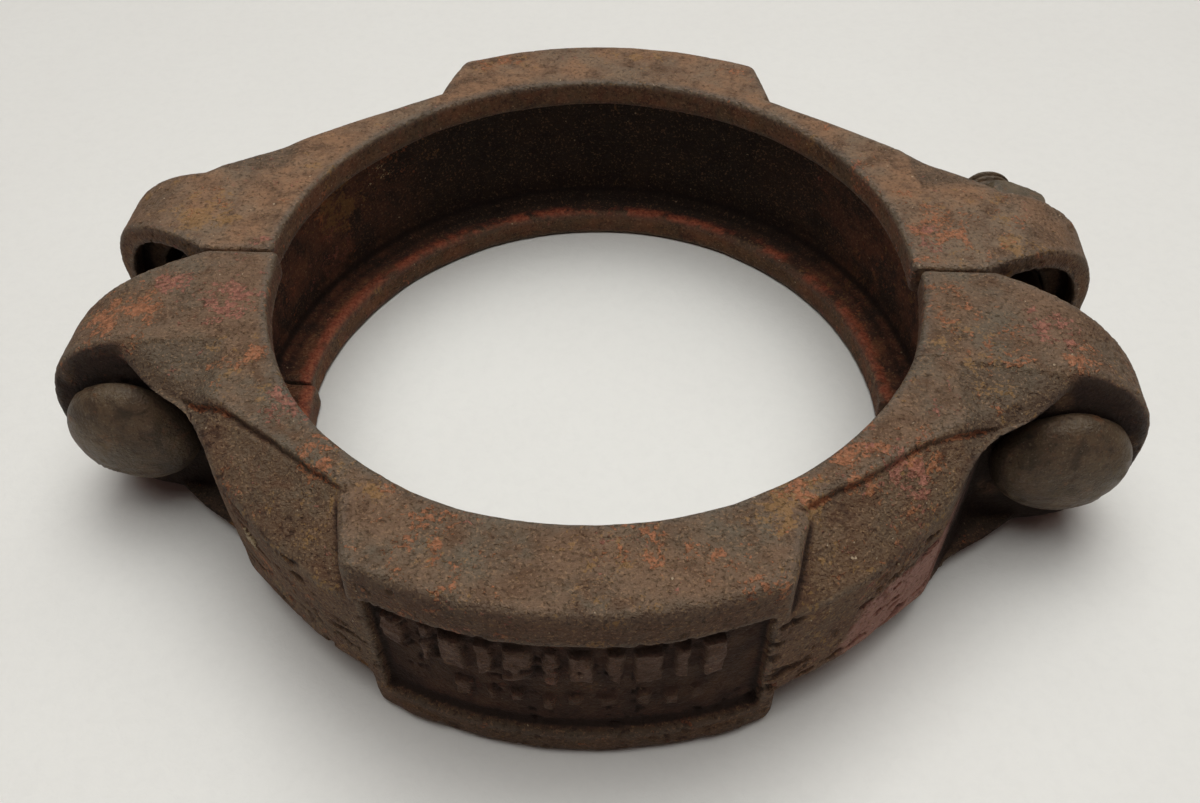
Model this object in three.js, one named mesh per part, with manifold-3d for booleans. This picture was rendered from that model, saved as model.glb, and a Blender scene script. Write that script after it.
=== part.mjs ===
// Grooved pipe coupling, nominal 6 in: two identical cast housing halves held by two track-head bolts and hex nuts.
// Millimetres, +Z up. The pipe axis is Z, the ears are on X, and the bolts run along Y with their heads at -Y.
import * as THREE from "three";
import { ConvexGeometry } from "three/addons/geometries/ConvexGeometry.js";
import { mergeVertices } from "three/addons/utils/BufferGeometryUtils.js";
import Module from "manifold-3d";

const wasm = await Module();
wasm.setup();

const degrees = Math.PI / 180;

// Housing ring
const halfWidth = 29.5; // half of the width along the pipe
const boreRadius = 82.5; // the keys that sit in the pipe's groove
const channelRadius = 95; // the gasket channel between the keys
const channelHalfWidth = 20.8;
const wallRadius = 105; // the outer wall at mid-height
const wallHalfHeight = 15; // the wall is upright up to here, then leans in to the ridge
const arcSteps = 40; // segments on a half circle

// Straight ridges that run from the name panel out to the ears
const ridgeDistance = 92; // from the pipe axis, square to the ridge
const ridgeAngle = 33.7 * degrees;
const ridgeDrop = 3; // the ridge's edge is broken by a slope this high and wide
const ridgeFlatEndX = 106;
const ridgeEndX = 113.5;

// Name panel at the middle of each half
const panelRadius = 105.4;
const panelCornerAngle = 25.8 * degrees;
const panelInnerCorner = [50, 77];
const panelBreak = 1.8;
const recessRadius = 102.4;
const recessAngle = 24 * degrees;
const recessBottom = -19.5;
const recessTop = 18;

// Ears
const earCentreX = 103; // the ear's end is a squared ellipse about this
const earLength = 34.9;
const earSquareness = 2.4; // 2 would be a plain ellipse
const bearingY = 34.5; // the flat face that the bolt head or nut bears on
const bearingBreak = 2;
const bearingThickness = 9;
const rimStartX = 101;
const rimSlope = 0.55; // from here out the ear's rim falls away from the parting plane
const cavityCentreX = 111.3;
const cavityRadius = 22.5;
const cavityInnerX = 106.5;
const cavityCorner = 3;
const pocketInnerX = 98.5; // at the bearing face
const pocketFlare = 0.5; // the pocket's inner wall runs in towards the middle by this much as it comes forward
const pocketHalfHeight = 24;
const pocketCorner = 4.5;
const pocketFrontY = 72;
const boltX = 117.3;
const boltHoleHalfLength = 10.5;
const boltHoleHalfHeight = 8.9;

// The halves sit a little out of line, as they do when the bolts are slack
const slipX = 0.95;
const slipY = 0.45;

// Bolt, 5/8-11 track head
const headRadius = 16.65;
const headDome = 8.4;
const headEdge = 1.4;
const shankRadius = 7.9;
const rightBoltEndY = 73.6;
const leftBoltEndY = 69.8; // the left bolt is a little shorter
const boltEndBreak = 1.6;
const neckHalfLength = 9.2;
const neckHalfHeight = 8.2;
const neckLength = 8;
const seatGap = 0.35; // the head and the nut stand this far off the castings

const boltDrop = 0.3; // the bolts rest low in their oval holes
const leftBoltForward = 1; // the left bolt has been pushed forward by this much

// Nut, hexagonal
const nutAcrossFlats = 28.6;
const nutHeight = 16;
const nutBoreRadius = 8.3;
const nutChamfer = 1.6;
const leftNutTurn = 8 * degrees;
const rightNutTurn = 20 * degrees;
const rightNutBackedOff = 7; // the right nut has been run back along its bolt

// ---- helpers -------------------------------------------------------------

// A closed three.js geometry as a manifold-3d solid, faces turned outwards.
function solidOf(geometry) {
  const bare = new THREE.BufferGeometry();
  bare.setAttribute("position", geometry.getAttribute("position").clone());
  if (geometry.index) bare.setIndex(geometry.index.clone());
  const merged = mergeVertices(bare, 1e-4);
  const triVerts = new Uint32Array(merged.index.array);
  const vertProperties = merged.attributes.position.array;
  const made = new wasm.Manifold(
    new wasm.Mesh({ numProp: 3, vertProperties, triVerts }),
  );
  if (made.volume() > 0) return made;
  for (let i = 0; i < triVerts.length; i += 3) {
    [triVerts[i + 1], triVerts[i + 2]] = [triVerts[i + 2], triVerts[i + 1]];
  }
  return new wasm.Manifold(
    new wasm.Mesh({ numProp: 3, vertProperties, triVerts }),
  );
}

// A manifold-3d solid as three.js geometry with flat-shaded faces.
function geometryOf(solid) {
  const mesh = solid.getMesh();
  const positions = new Float32Array(mesh.numVert * 3);
  for (let i = 0; i < mesh.numVert; i++) {
    const start = i * mesh.numProp;
    positions.set(mesh.vertProperties.subarray(start, start + 3), i * 3);
  }
  const geometry = new THREE.BufferGeometry()
    .setAttribute("position", new THREE.BufferAttribute(positions, 3))
    .setIndex(new THREE.BufferAttribute(mesh.triVerts, 1))
    .toNonIndexed();
  geometry.computeVertexNormals();
  return geometry;
}

// A prism over an XY outline, from z0 to z1.
function prismUp(outline, z0, z1) {
  const shape = new THREE.Shape(outline.map(([x, y]) => new THREE.Vector2(x, y)));
  const geometry = new THREE.ExtrudeGeometry(shape, {
    depth: z1 - z0,
    bevelEnabled: false,
  });
  geometry.translate(0, 0, z0);
  return solidOf(geometry);
}

// A prism over an XZ outline, from y0 to y1.
function prismAlongY(outline, y0, y1) {
  const shape = new THREE.Shape(outline.map(([x, z]) => new THREE.Vector2(x, z)));
  const geometry = new THREE.ExtrudeGeometry(shape, {
    depth: y1 - y0,
    bevelEnabled: false,
  });
  geometry.rotateX(Math.PI / 2);
  geometry.translate(0, y1, 0);
  return solidOf(geometry);
}

function hullOf(points) {
  return solidOf(
    new ConvexGeometry(points.map(([x, y, z]) => new THREE.Vector3(x, y, z))),
  );
}

// Points on a circle about the pipe axis, by angle from -Y towards +X.
function arcPoints(radius, from, to, steps) {
  const points = [];
  for (let i = 0; i <= steps; i++) {
    const a = from + ((to - from) * i) / steps;
    points.push([radius * Math.sin(a), -radius * Math.cos(a)]);
  }
  return points;
}

// A closed outline with straight sides in x and half circles at its ends.
function stadium(centreX, halfLength, halfHeight, steps) {
  const points = [];
  const reach = halfLength - halfHeight;
  for (const side of [1, -1]) {
    for (let i = 0; i <= steps; i++) {
      const a = -90 * degrees + (180 * degrees * i) / steps;
      points.push([
        centreX + side * (reach + halfHeight * Math.cos(a)),
        side * halfHeight * Math.sin(a),
      ]);
    }
  }
  return points;
}

// ---- housing -------------------------------------------------------------

// Half outline of the flat top: the ridge line and the ear's face, drawn in by inset.
function ridgeOutline(inset, endX) {
  const radius = ridgeDistance - inset;
  const points = arcPoints(radius, -ridgeAngle, ridgeAngle, 12);
  const reachY = (x) =>
    (radius - x * Math.sin(ridgeAngle)) / Math.cos(ridgeAngle);
  const endY = Math.max(reachY(endX), bearingY - inset);
  for (const side of [-1, 1]) {
    points.push([side * endX, -endY]);
    points.push([side * endX, 0]);
  }
  return points;
}

function bodySolid() {
  const points = [];
  for (const side of [-1, 1]) {
    for (const [x, y] of ridgeOutline(ridgeDrop, ridgeFlatEndX)) {
      points.push([x, y, side * halfWidth]);
    }
    for (const [x, y] of ridgeOutline(0, ridgeEndX)) {
      points.push([x, y, side * (halfWidth - ridgeDrop)]);
    }
    const wall = arcPoints(wallRadius, -90 * degrees, 90 * degrees, arcSteps);
    for (const [x, y] of wall) points.push([x, y, side * wallHalfHeight]);
  }
  return hullOf(points);
}

function panelSolid() {
  const points = [];
  const layers = [
    [0, halfWidth - panelBreak],
    [panelBreak, halfWidth],
  ];
  for (const [inset, z] of layers) {
    const arc = arcPoints(
      panelRadius - inset,
      -panelCornerAngle,
      panelCornerAngle,
      14,
    );
    const [cornerX, cornerY] = panelInnerCorner;
    arc.push([cornerX - inset, -cornerY], [inset - cornerX, -cornerY]);
    for (const [x, y] of arc) points.push([x, y, z], [x, y, -z]);
  }
  return hullOf(points);
}

function panelRecess() {
  const outline = [
    ...arcPoints(recessRadius, -recessAngle, recessAngle, 14),
    ...arcPoints(panelRadius + 8, recessAngle, -recessAngle, 14),
  ];
  return prismUp(outline, recessBottom, recessTop);
}

// One ear's outer block: half a squared ellipse in XZ, its front edge broken.
function earSolid(side) {
  const layers = [
    [0, 0],
    [bearingY - bearingBreak, 0],
    [bearingY, bearingBreak],
  ];
  const points = [];
  for (const [depth, inset] of layers) {
    for (let i = 0; i <= 24; i++) {
      const a = -90 * degrees + (180 * degrees * i) / 24;
      const out = Math.max(Math.cos(a), 0) ** (2 / earSquareness);
      const up = Math.sign(a) * Math.abs(Math.sin(a)) ** (2 / earSquareness);
      const x = earCentreX + (earLength - inset) * out;
      points.push([side * x, -depth, (halfWidth - inset) * up]);
    }
    for (const z of [-1, 1]) {
      points.push([side * 88, -depth, z * (halfWidth - inset)]);
    }
  }
  return hullOf(points);
}

// The hollow of the ear behind the bearing wall, open at the rim.
function earCavity(side) {
  const outline = [];
  for (let i = 0; i <= 18; i++) {
    const a = -90 * degrees + i * 10 * degrees;
    outline.push([
      side * (cavityCentreX + cavityRadius * Math.cos(a)),
      cavityRadius * Math.sin(a),
    ]);
  }
  const innerX = cavityInnerX + cavityCorner;
  outline.push([side * innerX, cavityRadius]);
  outline.push([side * cavityInnerX, cavityRadius - cavityCorner]);
  outline.push([side * cavityInnerX, cavityCorner - cavityRadius]);
  outline.push([side * innerX, -cavityRadius]);
  return prismAlongY(outline, bearingThickness - bearingY, 5);
}

// The space for the bolt head between the two flanges, in front of the bearing face.
function headPocket(side) {
  const points = [];
  for (const y of [bearingY, pocketFrontY]) {
    const innerX = pocketInnerX - pocketFlare * (y - bearingY);
    for (const up of [1, -1]) {
      points.push([side * 160, -y, up * pocketHalfHeight]);
      for (let i = 0; i <= 4; i++) {
        const a = i * 22.5 * degrees;
        const x = innerX + pocketCorner * (1 - Math.sin(a));
        const z = pocketHalfHeight - pocketCorner * (1 - Math.cos(a));
        points.push([side * x, -y, up * z]);
      }
    }
  }
  return hullOf(points);
}

// Everything behind the parting face: level at the ring, sloping back at the ears.
function partingCut() {
  const farX = 160;
  const farY = -rimSlope * (farX - rimStartX);
  const outline = [
    [-farX, farY],
    [-rimStartX, 0],
    [rimStartX, 0],
    [farX, farY],
    [farX, 60],
    [-farX, 60],
  ];
  return prismUp(outline, -50, 50);
}

// The bore, with the gasket channel between its keys.
function boreSolid() {
  const upper = [
    [channelRadius, 15.5],
    [channelRadius - 1, 19],
    [channelRadius - 4.5, channelHalfWidth],
    [boreRadius + 1.2, channelHalfWidth],
    [boreRadius, channelHalfWidth + 1.2],
    [boreRadius, halfWidth - 0.8],
    [boreRadius + 1.6, halfWidth + 0.8],
    [boreRadius + 1.6, 40],
  ];
  const lower = upper.map(([r, z]) => [r, -z]).reverse();
  const profile = [[0, -40], ...lower, ...upper, [0, 40]];
  const geometry = new THREE.LatheGeometry(
    profile.map(([r, z]) => new THREE.Vector2(r, z)),
    2 * arcSteps + 8,
  );
  geometry.rotateX(Math.PI / 2);
  return solidOf(geometry);
}

function housingSolid() {
  let solid = bodySolid().add(panelSolid());
  for (const side of [-1, 1]) solid = solid.add(earSolid(side));
  solid = solid.subtract(panelRecess()).subtract(boreSolid());
  for (const side of [-1, 1]) {
    const hole = stadium(
      side * boltX,
      boltHoleHalfLength,
      boltHoleHalfHeight,
      8,
    );
    solid = solid
      .subtract(headPocket(side))
      .subtract(earCavity(side))
      .subtract(prismAlongY(hole, -60, 10));
  }
  return solid.subtract(partingCut());
}

// ---- bolts and nuts ------------------------------------------------------

function boltSolid(endY) {
  const seat = -bearingY - slipY - seatGap;
  const rim = seat - headEdge;
  const profile = [];
  for (let i = 0; i <= 8; i++) {
    const a = (90 - (90 * i) / 8) * degrees;
    profile.push([headRadius * Math.cos(a), rim - headDome * Math.sin(a)]);
  }
  profile[0][0] = 0;
  profile.push([headRadius - 0.6, seat]);
  profile.push([shankRadius, seat]);
  profile.push([shankRadius, endY - boltEndBreak]);
  profile.push([shankRadius - boltEndBreak, endY]);
  profile.push([0, endY]);
  const turned = solidOf(
    new THREE.LatheGeometry(
      profile.map(([r, y]) => new THREE.Vector2(r, y)),
      32,
    ),
  );
  const neck = stadium(0, neckHalfLength, neckHalfHeight, 8);
  return turned.add(prismAlongY(neck, seat - 0.5, seat + neckLength));
}

function nutSolid() {
  const start = bearingY + slipY + seatGap;
  const corner = nutAcrossFlats / 2 / Math.cos(30 * degrees);
  const hexagon = [];
  for (let i = 0; i < 6; i++) {
    const a = i * 60 * degrees;
    hexagon.push([corner * Math.cos(a), corner * Math.sin(a)]);
  }
  const chamferProfile = [
    [0, start],
    [corner - nutChamfer, start],
    [corner + 0.2, start + nutChamfer],
    [corner + 0.2, start + nutHeight - nutChamfer],
    [corner - nutChamfer, start + nutHeight],
    [0, start + nutHeight],
  ];
  const envelope = solidOf(
    new THREE.LatheGeometry(
      chamferProfile.map(([r, y]) => new THREE.Vector2(r, y)),
      48,
    ),
  );
  const hole = solidOf(
    new THREE.CylinderGeometry(nutBoreRadius, nutBoreRadius, 40, 32).translate(
      0,
      start + nutHeight / 2,
      0,
    ),
  );
  return prismAlongY(hexagon, start, start + nutHeight)
    .intersect(envelope)
    .subtract(hole);
}

// ---- assembly ------------------------------------------------------------

const castIron = new THREE.MeshStandardMaterial({
  color: 0x5d4c3d,
  roughness: 0.88,
  metalness: 0.35,
});
const darkSteel = new THREE.MeshStandardMaterial({
  color: 0x4a4238,
  roughness: 0.7,
  metalness: 0.55,
});
const rustySteel = new THREE.MeshStandardMaterial({
  color: 0x55412f,
  roughness: 0.82,
  metalness: 0.45,
});

function named(name, geometry, material) {
  const mesh = new THREE.Mesh(geometry, material);
  mesh.name = name;
  return mesh;
}

const coupling = new THREE.Group();
coupling.name = "pipe_coupling";

const housingGeometry = geometryOf(housingSolid());
const frontHousing = named("front_housing", housingGeometry, castIron);
frontHousing.position.set(slipX, -slipY, 0);
const rearHousing = named("rear_housing", housingGeometry, castIron);
rearHousing.rotation.z = Math.PI;
rearHousing.position.set(-slipX, slipY, 0);
coupling.add(frontHousing, rearHousing);

const leftBolt = named("left_bolt", geometryOf(boltSolid(leftBoltEndY)), darkSteel);
leftBolt.position.set(slipX - boltX, -leftBoltForward, -boltDrop);
const rightBolt = named("right_bolt", geometryOf(boltSolid(rightBoltEndY)), darkSteel);
rightBolt.position.set(slipX + boltX, 0, -boltDrop);

const nutGeometry = geometryOf(nutSolid());
const leftNut = named("left_nut", nutGeometry, rustySteel);
leftNut.position.set(slipX - boltX, 0, -boltDrop);
leftNut.rotation.y = leftNutTurn;
const rightNut = named("right_nut", nutGeometry, rustySteel);
rightNut.position.set(slipX + boltX, rightNutBackedOff, -boltDrop);
rightNut.rotation.y = rightNutTurn;
coupling.add(leftBolt, rightBolt, leftNut, rightNut);

export default coupling;
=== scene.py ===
"""Grooved pipe coupling on a pale table: two rusty castings, two track-head bolts and two hex nuts."""

import math
from types import SimpleNamespace

import bpy
import numpy as np
from mathutils import Matrix, Vector


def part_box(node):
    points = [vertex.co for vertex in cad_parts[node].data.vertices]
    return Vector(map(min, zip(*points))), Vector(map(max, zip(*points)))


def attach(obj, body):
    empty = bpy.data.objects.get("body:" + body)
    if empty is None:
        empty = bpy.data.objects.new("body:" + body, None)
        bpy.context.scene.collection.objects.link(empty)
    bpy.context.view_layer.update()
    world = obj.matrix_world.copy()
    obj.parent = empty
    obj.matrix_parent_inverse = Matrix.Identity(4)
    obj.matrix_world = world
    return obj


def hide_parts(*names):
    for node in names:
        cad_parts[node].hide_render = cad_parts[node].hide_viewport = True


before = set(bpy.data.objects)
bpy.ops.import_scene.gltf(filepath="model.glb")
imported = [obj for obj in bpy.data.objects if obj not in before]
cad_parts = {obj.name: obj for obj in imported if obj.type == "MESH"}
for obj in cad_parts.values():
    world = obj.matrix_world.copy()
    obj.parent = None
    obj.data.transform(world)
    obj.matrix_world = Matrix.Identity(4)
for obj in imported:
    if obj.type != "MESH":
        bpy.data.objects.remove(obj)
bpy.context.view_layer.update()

MM = 0.001  # lengths are in millimetres wherever they aren't handed to Blender

# Sizes of a housing half, as the front one lies: its name panel at -Y, the pipe's axis at the origin.
HALF_WIDTH = 29.5
BORE_R = 82.5  # the keys
CHANNEL_R = 95.0  # the gasket channel between the keys
CHANNEL_HALF = 20.8
WALL_R = 105.0
PANEL_R = 105.4
RECESS_R = 102.4  # the recess in the name panel
RECESS_ANGLE = 24.0
RECESS_LOW, RECESS_HIGH = -19.5, 18.0
RIDGE_DISTANCE = 92.0  # from the pipe's axis to the straight ridges, square to them
RIDGE_ANGLE = math.radians(33.7)
POCKET_Y = -34.5  # the face under the bolt head
POCKET_INNER_X = 98.5  # the head pocket's inner wall, at that face
POCKET_FLARE = 0.5  # how fast that wall runs in towards the middle, away from the face
POCKET_HALF_HEIGHT = 24.0
SLIP = np.array([0.95, -0.45, 0.0])  # how far off the axis the front half sits. The rear one sits opposite.

HOUSING_CELL = 0.62  # the cells that a casting's surface is remade with
HOUSING_FACES = 196000  # and the most triangles it keeps
SMOOTHING_ROUNDS = 18


# ---------------------------------------------------------------- noise

def corner_gradients(cell, seed):
    """One of sixteen directions for each cell corner, picked by a hash of the corner and the seed."""
    x, y, z = (cell[:, i].astype(np.int64) for i in range(3))
    h = (x * 374761393 + y * 668265263 + z * 1440662683 + seed * 974634777) & 0xFFFFFFFF
    h = ((h ^ (h >> 13)) * 1274126177) & 0xFFFFFFFF
    h = (h ^ (h >> 16)) & 15
    return GRADIENTS[h]


GRADIENTS = np.array(
    [[a, b, 0] for a in (-1, 1) for b in (-1, 1)]
    + [[a, 0, b] for a in (-1, 1) for b in (-1, 1)]
    + [[0, a, b] for a in (-1, 1) for b in (-1, 1)]
    + [[1, 1, 0], [-1, 1, 0], [0, -1, 1], [0, -1, -1]],
    float,
)


def noise(points, size, seed):
    """Smooth gradient noise, about -1 to 1, whose bumps are `size` across."""
    p = points / size
    cell = np.floor(p)
    f = p - cell
    u = f * f * f * (f * (f * 6 - 15) + 10)
    total = np.zeros(len(p))
    for corner in np.ndindex(2, 2, 2):
        c = np.array(corner, float)
        g = corner_gradients(cell + c, seed)
        weight = np.prod(np.where(c > 0, u, 1 - u), axis=1)
        total += weight * np.einsum("ij,ij->i", g, f - c)
    return total * 1.5


def layered(points, size, seed, layers=3, fade=0.5):
    """Noise with finer and fainter layers added."""
    total, strength, norm = 0.0, 1.0, 0.0
    for i in range(layers):
        total = total + strength * noise(points, size / 2**i, seed + 17 * i)
        norm += strength
        strength *= fade
    return total / norm


def ramp(x, low, high):
    """0 below low, 1 above high, smooth between. low may be the greater."""
    t = np.clip((x - low) / (high - low), 0, 1)
    return t * t * (3 - 2 * t)


# ---------------------------------------------------------------- meshes

def mesh_arrays(mesh):
    """The vertices in millimetres and the edges."""
    v = np.zeros(len(mesh.vertices) * 3)
    mesh.vertices.foreach_get("co", v)
    e = np.zeros(len(mesh.edges) * 2, np.int64)
    mesh.edges.foreach_get("vertices", e)
    return v.reshape(-1, 3) / MM, e.reshape(-1, 2)


def set_points(mesh, points):
    mesh.vertices.foreach_set("co", (points * MM).astype(np.float32).ravel())
    mesh.update()


def vertex_normals(mesh):
    n = np.zeros(len(mesh.vertices) * 3)
    mesh.vertex_normals.foreach_get("vector", n)
    return n.reshape(-1, 3)


def smoothed(points, edges, rounds, weight=1.0):
    """The points after rounds of moving each towards the middle of its neighbours, by weight."""
    n = len(points)
    a, b = edges[:, 0], edges[:, 1]
    count = (np.bincount(a, minlength=n) + np.bincount(b, minlength=n))[:, None]
    out = points.copy()
    step = np.reshape(weight, (-1, 1))
    for _ in range(rounds):
        total = np.stack(
            [np.bincount(a, out[b, i], n) + np.bincount(b, out[a, i], n) for i in range(3)], axis=1
        )
        out += step * (total / count - out)
    return out


def add_attribute(mesh, name, values):
    layer = mesh.attributes.new(name, "FLOAT", "POINT")
    layer.data.foreach_set("value", np.asarray(values, np.float32))


def smooth_shaded(mesh):
    mesh.polygons.foreach_set("use_smooth", np.ones(len(mesh.polygons), bool))


def new_object(name, mesh):
    obj = bpy.data.objects.new(name, mesh)
    bpy.context.scene.collection.objects.link(obj)
    return obj


def with_modifier(obj, kind, **settings):
    """A new mesh: obj's with one modifier applied."""
    m = obj.modifiers.new(kind, kind)
    for key, value in settings.items():
        setattr(m, key, value)
    depsgraph = bpy.context.evaluated_depsgraph_get()
    made = bpy.data.meshes.new_from_object(obj.evaluated_get(depsgraph), depsgraph=depsgraph)
    obj.modifiers.remove(m)
    return made


# ---------------------------------------------------------------- housings

def from_ridge(points):
    """How far points stand out across the straight ridges, and how far towards the ears they lie."""
    x, y = np.abs(points[:, 0]), points[:, 1]
    across = x * math.sin(RIDGE_ANGLE) - y * math.cos(RIDGE_ANGLE) - RIDGE_DISTANCE
    along = x * math.cos(RIDGE_ANGLE) + y * math.sin(RIDGE_ANGLE)
    return across, along


def rounded_housing(tip_rounding):
    """A housing half with its edges worn round. tip_rounding is for the ends of its straight ridges."""
    source = new_object("housing_source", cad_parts["front_housing"].data.copy())
    cell = HOUSING_CELL * 1
    mesh = with_modifier(source, "REMESH", mode="VOXEL", voxel_size=cell * MM, adaptivity=0.0)
    bpy.data.objects.remove(source)
    points, edges = mesh_arrays(mesh)
    points = points - SLIP
    height = np.abs(points[:, 2])
    radius = np.hypot(points[:, 0], points[:, 1])
    angle = np.abs(np.degrees(np.arctan2(points[:, 0], -points[:, 1])))
    plate_edge = ramp(angle, 30, 26) * ramp(radius, WALL_R - 6, WALL_R - 4) * ramp(height, 22, 25)
    across, along = from_ridge(points)
    ridge_tip = ramp(along, 46, 54) * ramp(across, -9, -5) * ramp(height, 16, 20)
    ridge_tip *= ramp(points[:, 1], POCKET_Y + 3.5, POCKET_Y - 0.5)
    weight = 0.16 + np.maximum(0.6 * plate_edge, tip_rounding * ridge_tip)
    set_points(mesh, smoothed(points, edges, SMOOTHING_ROUNDS, weight))
    return mesh


# Plain upright bars on the name panel, worn down. Each is (place along the panel, width, top, bottom).
UPPER_BARS = (
    (-37.5, 5.0, 13.5, 1.5), (-30.0, 3.0, 13.5, 1.0), (-24.0, 5.5, 13.0, 1.0), (-17.0, 3.5, 13.0, 2.0),
    (-10.0, 6.0, 13.0, 1.0), (-3.0, 3.0, 13.0, 1.0), (3.5, 5.0, 12.5, 2.0), (10.5, 3.5, 13.0, 1.0),
    (17.5, 6.0, 12.5, 1.0), (24.5, 3.0, 13.0, 2.0), (31.0, 5.0, 13.5, 1.0),
)
LOWER_BARS = (
    (-23.0, 3.6, -5.5, -10.5), (-16.5, 2.0, -6.0, -11.0), (-11.0, 3.0, -5.5, -10.0), (-4.0, 2.2, -6.0, -11.0),
    (1.5, 3.4, -5.5, -9.5), (9.0, 4.2, -6.5, -10.0), (16.5, 3.0, -5.5, -10.5), (22.5, 3.0, -6.0, -10.5),
    (28.5, 2.6, -5.5, -10.0),
)
PAD_PLACES = (-36.0, 36.0)  # the middles of two ovals on the panel's lower lip
PAD_HEIGHT = -24.8
PAD_HALF_SIZE = (5.0, 2.4)


def bars(places, along, height, wobble):
    """Where any of the bars stands up: 1 on it and 0 round it."""
    total = np.zeros(len(along))
    for centre, width, top, bottom in places:
        across = np.abs(along - centre) - width / 2
        upright = np.abs(height - (top + bottom) / 2) - (top - bottom) / 2
        total = np.maximum(total, ramp(np.maximum(across, upright) + wobble, 0.3, -0.4))
    return total


def panel_marks(points):
    """How far the worn cast-in marks stand up from the name panel's floor: two rows of plain bars."""
    along = np.arctan2(points[:, 0], -points[:, 1]) * RECESS_R
    wobble = 0.5 * noise(points, 4.0, 301)
    worn = 0.9 + 0.4 * noise(points, 9.0, 302)
    upper = bars(UPPER_BARS, along, points[:, 2], wobble)
    lower = bars(LOWER_BARS, along, points[:, 2], wobble)
    return np.maximum(upper, 0.7 * lower) * np.clip(worn, 0.5, 1)


def lip_pads(points):
    """1 on two plain ovals on the panel's lower lip."""
    along = np.arctan2(points[:, 0], -points[:, 1]) * PANEL_R
    up = (points[:, 2] - PAD_HEIGHT) / PAD_HALF_SIZE[1]
    total = np.zeros(len(points))
    for centre in PAD_PLACES:
        reach = np.hypot((along - centre) / PAD_HALF_SIZE[0], up)
        total = np.maximum(total, ramp(reach, 1.1, 0.9))
    return total


def crease(points):
    """The line under the straight ridges: its groove, and the rough shoulder set back below it."""
    across, along = from_ridge(points)
    waver = 0.30 * noise(points, 9.0, 331) + 0.15 * noise(points, 3.0, 332)
    below = across - (-1.9 + 1.3 * ramp(along, 32, 48) + 0.6 * ramp(along, 48, 62) + waver)
    run = ramp(along, -1.5, 0.5) * ramp(np.abs(points[:, 2]), 21.0, 24.5)
    depth = 0.6 + 0.2 * ramp(along, 20, 45) + 0.35 * noise(points, 8.0, 333)
    groove = ramp(np.abs(below - 0.4), 1.0, 0.2) * np.clip(depth, 0, 1.2)
    shoulder = ramp(below, -0.2, 0.6) * ramp(below, 9.0, 3.0)
    return groove * run * ramp(along, 55.0, 44.0), shoulder * run * ramp(along, 60.0, 47.0)


def ear_facing(points):
    """How far the ear's outer faces are dressed down towards the head pocket: a small step, then a slope."""
    x, y, z = points.T
    start = -31.6 - 0.12 * (np.abs(x) - 88) + 0.25 * noise(points, 6.0, 341)
    slope = 0.7 * ramp(y, start + 0.3, start - 0.6) + 2.0 * np.clip((start - y) / 10.0, 0, 1.2)
    return slope * ramp(np.abs(x), 84, 92) * ramp(np.abs(x), 117, 110) * ramp(np.abs(z), 22, 27)


def head_pocket(points, normals):
    """1 on the walls of the pockets round the bolt heads."""
    x, y, z = np.abs(points[:, 0]), points[:, 1], np.abs(points[:, 2])
    back = ramp(-normals[:, 1], 0.5, 0.8) * ramp(x, 93, 96) * ramp(y, POCKET_Y + 2.0, POCKET_Y + 0.8)
    inner = ramp(np.abs(x - POCKET_INNER_X - POCKET_FLARE * (y - POCKET_Y)), 2.4, 1.2)
    inner *= ramp(y, POCKET_Y + 0.5, POCKET_Y - 0.5) * ramp(y, POCKET_Y - 34.0, POCKET_Y - 12.0)
    return np.maximum(back, inner * ramp(z, POCKET_HALF_HEIGHT + 0.5, POCKET_HALF_HEIGHT - 1.0))


def casting_skin(points, edges, normals, seed, dressing):
    """Regions and small features of a casting, most of them 0 to 1 with soft edges."""
    z = points[:, 2]
    height = np.abs(z)
    radius = np.hypot(points[:, 0], points[:, 1])
    angle = np.degrees(np.arctan2(points[:, 0], -points[:, 1]))
    keys = ramp(radius, BORE_R + 2.0, BORE_R + 0.5)
    inside = ramp(radius, CHANNEL_R + 2.0, CHANNEL_R + 0.6)
    flat = ramp(np.abs(normals[:, 2]), 0.75, 0.95) * ramp(height, HALF_WIDTH - 2.0, HALF_WIDTH - 0.5)
    outer = (1 - inside) * (1 - flat)
    panel = ramp(np.abs(angle), RECESS_ANGLE + 0.3, RECESS_ANGLE - 0.6)
    recess = (
        panel
        * ramp(radius, RECESS_R + 1.2, RECESS_R + 0.4)
        * ramp(radius, RECESS_R - 2.5, RECESS_R - 1.5)
        * ramp(z, RECESS_LOW - 0.5, RECESS_LOW + 1.0)
        * ramp(z, RECESS_HIGH + 0.5, RECESS_HIGH - 1.0)
    )
    side = outer * (1 - panel) * ramp(height, 17.5, 14.0)
    side *= ramp(radius, WALL_R - 4, WALL_R - 2) * ramp(radius, WALL_R + 4, WALL_R + 2)
    unrolled = np.stack([np.radians(angle) * WALL_R * 0.30, z, radius * 0.3], axis=1)
    scabs = ramp(layered(unrolled, 2.2, seed + 9, 2, 0.5), 0.22, 0.36)
    groove, shoulder = crease(points)
    return SimpleNamespace(
        radius=radius,
        keys=keys,
        inside=inside,
        outer=outer,
        panel=panel,
        recess=recess,
        pocket=head_pocket(points, normals),
        convex=np.einsum("ij,ij->i", points - smoothed(points, edges, 14, 0.8), normals),
        pits=ramp(noise(points, 2.1, seed + 5), 0.34, 0.6) * ramp(noise(points, 15.0, seed + 6), 0.05, 0.3),
        scabs=side * scabs * ramp(noise(points, 17.0, seed + 12), -0.1, 0.2),
        marks=panel_marks(points) * recess,
        groove=groove,
        shoulder=shoulder,
        facing=dressing * ear_facing(points),
    )


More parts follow.
